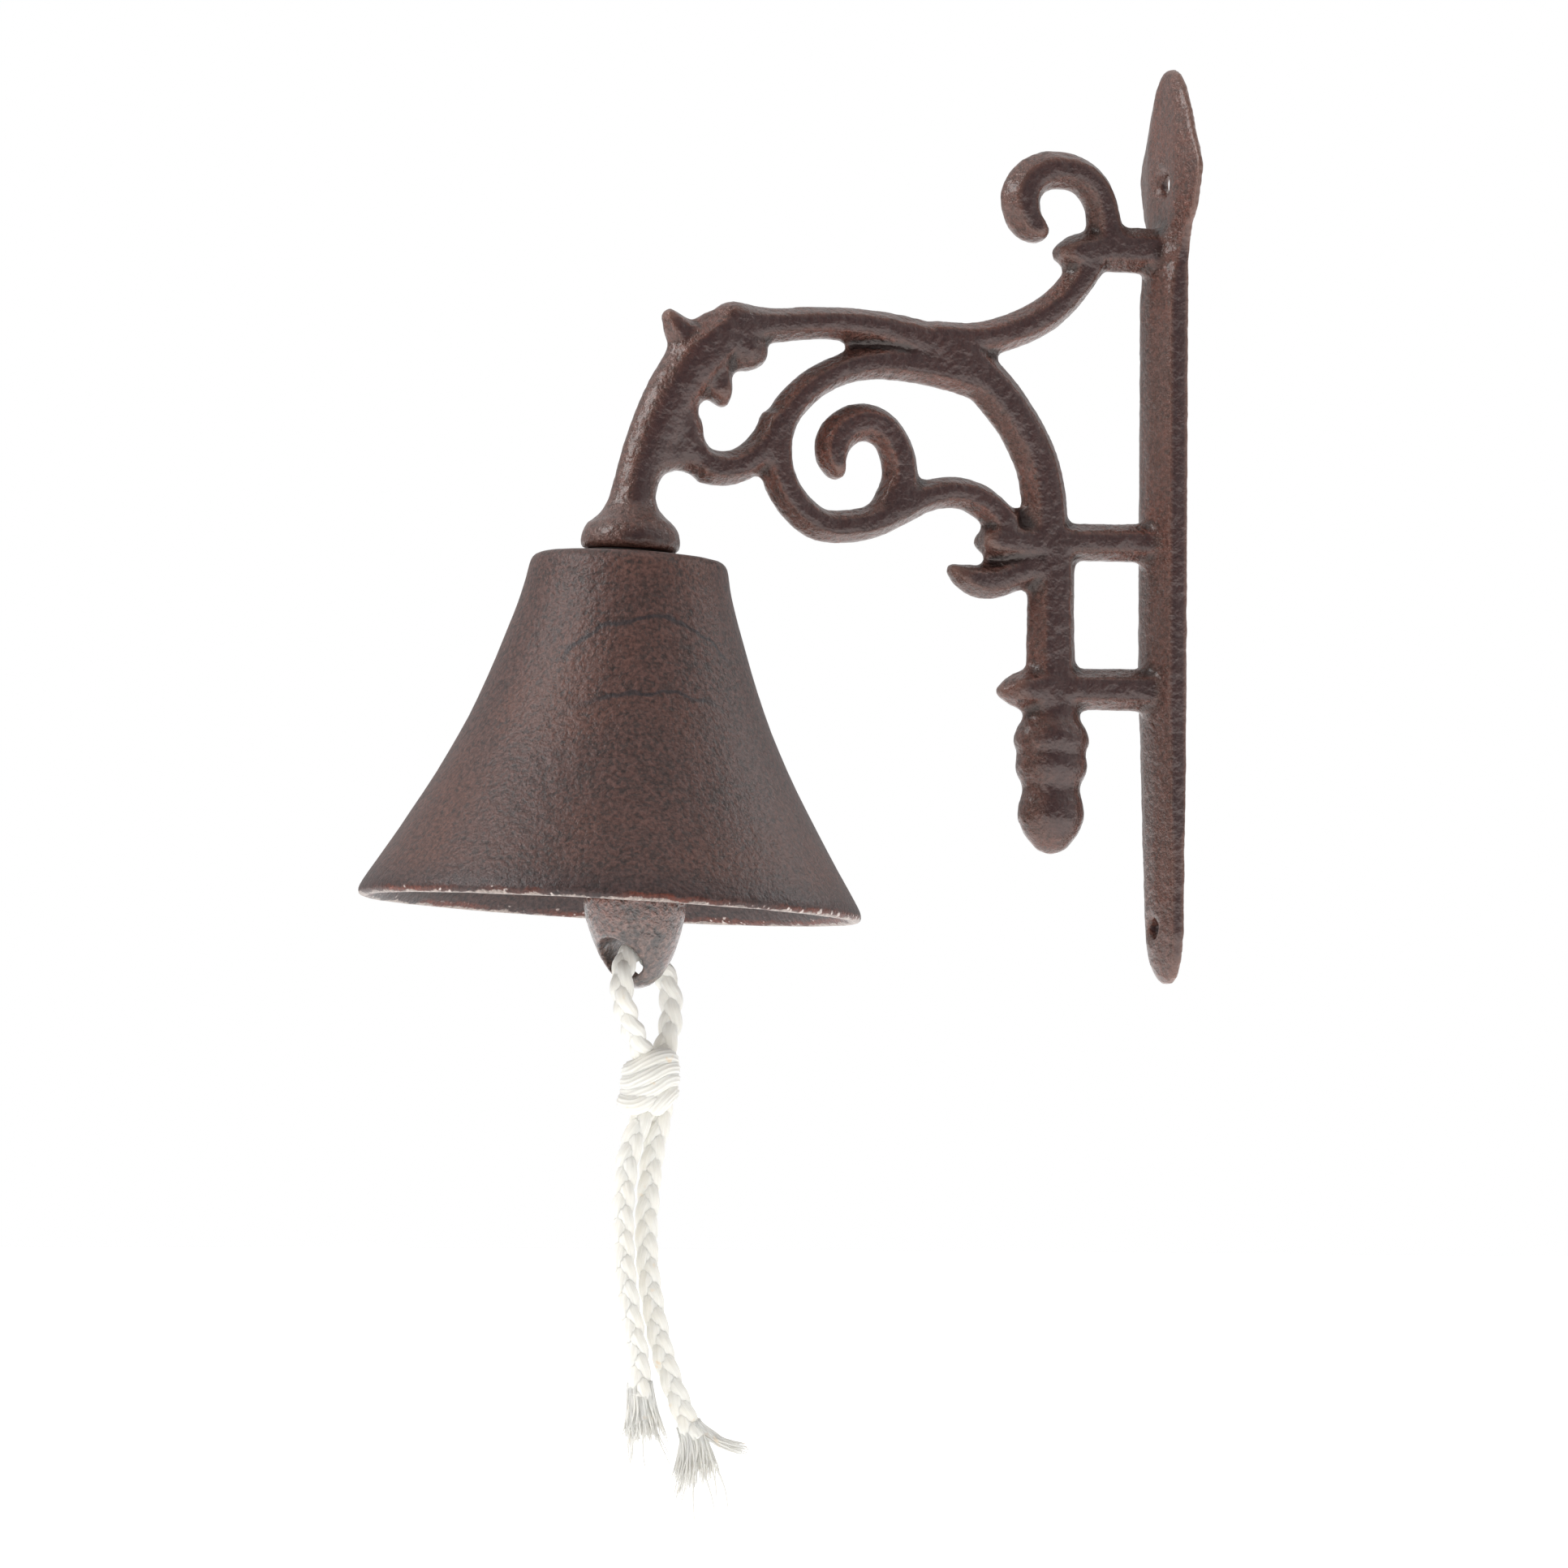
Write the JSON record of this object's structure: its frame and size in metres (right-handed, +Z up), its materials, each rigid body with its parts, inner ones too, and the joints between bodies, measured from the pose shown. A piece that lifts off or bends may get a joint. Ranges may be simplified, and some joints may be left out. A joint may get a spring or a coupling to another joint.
{
  "type": "wall mounted bell",
  "caption": "Cast iron door bell on a scrolled wall bracket, with a flared bell, a hanging clapper and a knotted pull rope.",
  "frame": {"origin": "on the flat back of the wall bar, at the middle of its height and width", "axes": "+Z up, +Y into the wall, the bracket reaches out along -Y and is symmetric about X = 0"},
  "size_m": [0.1056, 0.1841, 0.2974],
  "materials": {
    "bracket_iron": "antique brown lacquer over sand cast iron, satin",
    "bell_iron": "antique brown lacquer over fine sand cast iron, satin",
    "clapper_iron": "rough sand cast iron, brown lacquer",
    "fibre": "black fibre gasket, matte",
    "zinc_steel": "bright zinc plated steel",
    "cotton": "natural cotton rope, three strand twist"
  },
  "bodies": {
    "bracket": {"bracket_casting": "bracket_iron", "bell_body": "bell_iron", "crown_gasket": "fibre", "eye_bolt": "zinc_steel", "clamp_washer": "zinc_steel", "hex_nut": "zinc_steel"},
    "link": {"clapper_link": "zinc_steel"},
    "clapper": {"clapper": "clapper_iron", "clapper_eye": "zinc_steel"},
    "rope_loop": {"rope_strand_front": "cotton", "rope_strand_rear": "cotton"},
    "rope_end": {"rope_knot": "cotton", "rope_tail_left": "cotton", "rope_tail_right": "cotton"}
  },
  "joints": [
    {"name": "link_swing", "type": "hinge", "parent": "bracket", "child": "link", "pos_m": [0, -0.12862, -0.03297], "axis": [1, 0, 0], "range_deg": [-36, 22]},
    {"name": "clapper_swing", "type": "hinge", "parent": "link", "child": "clapper", "pos_m": [0, -0.12781, -0.04745], "axis": [0, 0.9984, 0.0558], "range_deg": [-22, 22]},
    {"name": "rope_loop_swing", "type": "hinge", "parent": "clapper", "child": "rope_loop", "pos_m": [0, -0.1255, -0.0945], "axis": [0.5151, -0.8571, 0], "range_deg": [-15, 15]},
    {"name": "rope_end_swing", "type": "hinge", "parent": "rope_loop", "child": "rope_end", "pos_m": [0.0006, -0.1214, -0.1222], "axis": [0.8571, 0.5151, 0], "range_deg": [-35, 35]}
  ]
}
